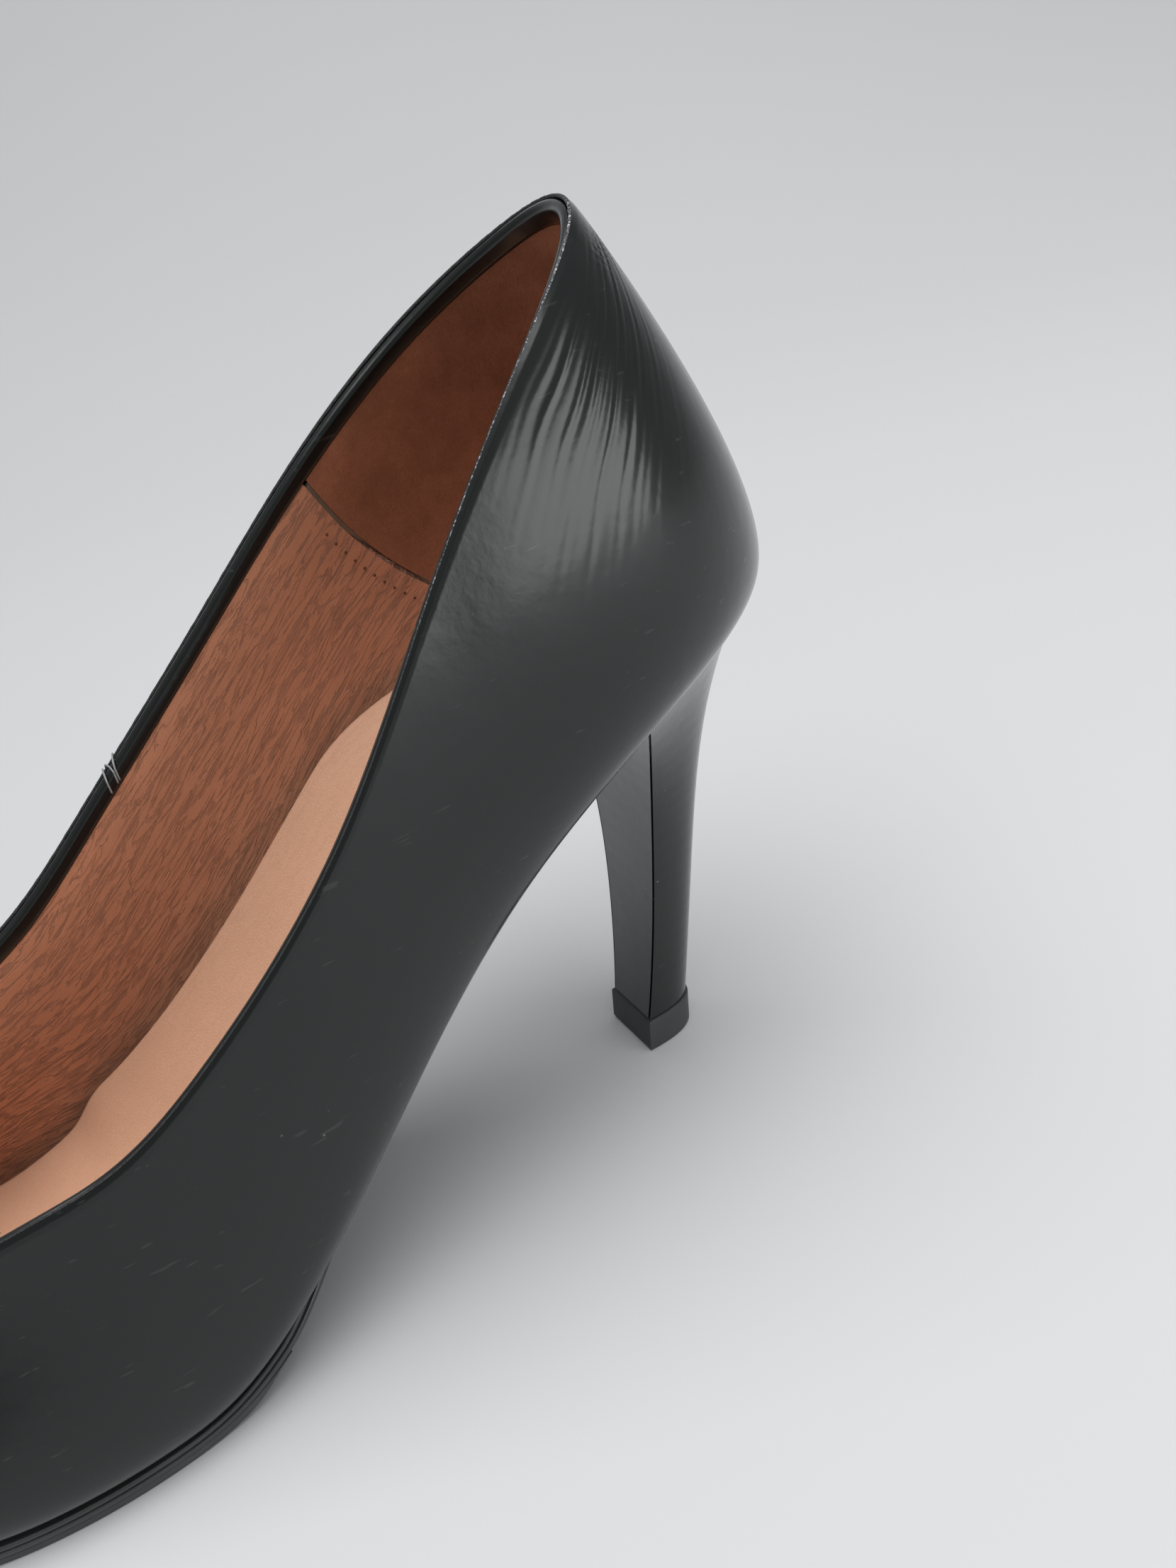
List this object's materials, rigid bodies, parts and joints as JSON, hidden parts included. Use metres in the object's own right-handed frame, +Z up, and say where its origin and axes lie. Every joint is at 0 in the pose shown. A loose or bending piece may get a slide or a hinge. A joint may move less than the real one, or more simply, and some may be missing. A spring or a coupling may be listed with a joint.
{
  "type": "high heel pump",
  "caption": "Left court pump with a glossy patent upper, leather lining, slim curved high heel and a replaceable heel tip.",
  "frame": {"origin": "on the floor, under the middle of the bounding box of the standing shoe", "axes": "+Z up, toe towards -Y, heel towards +Y, outer (little toe) side of a left shoe towards +X"},
  "size_m": [0.0774, 0.2184, 0.1521],
  "materials": {
    "patent_leather": "high gloss patent",
    "stiffener_cloth": "matte",
    "fibre_board": "matte pressed fibre",
    "suede": "napped suede",
    "lining_leather": "satin, fine grain",
    "foam": "matte foam",
    "sole_rubber": "satin rubber",
    "heel_plastic": "matte",
    "steel": "plain"
  },
  "bodies": {
    "shoe": {"upper_vamp": "patent_leather", "upper_medial_quarter": "patent_leather", "topline_binding": "patent_leather", "topline_tape": "stiffener_cloth", "heel_counter": "fibre_board", "toe_puff": "fibre_board", "vamp_backer": "stiffener_cloth", "interlining_outer": "stiffener_cloth", "interlining_inner": "stiffener_cloth", "heel_grip_lining": "suede", "vamp_lining": "lining_leather", "insole_board": "fibre_board", "shank_board": "fibre_board", "steel_shank": "steel", "shank_rivet_rear": "steel", "shank_rivet_front": "steel", "bottom_filler": "foam", "seat_filler": "foam", "foam_insole": "foam", "heel_pad": "foam", "sock": "lining_leather", "outsole": "sole_rubber", "half_sole": "sole_rubber", "heel_core": "heel_plastic", "heel_wrap": "patent_leather", "heel_breast_cover": "patent_leather", "heel_tube": "steel", "heel_nail_1": "steel", "heel_nail_2": "steel", "heel_nail_3": "steel", "heel_nail_4": "steel", "heel_screw": "steel"},
    "heel_tip": {"heel_tip": "sole_rubber", "heel_tip_pin": "steel"}
  },
  "joints": [
    {"name": "heel_tip_pull", "type": "slide", "parent": "shoe", "child": "heel_tip", "axis": [0, -0.1564, -0.9877], "range_m": [0, 0.019]}
  ]
}
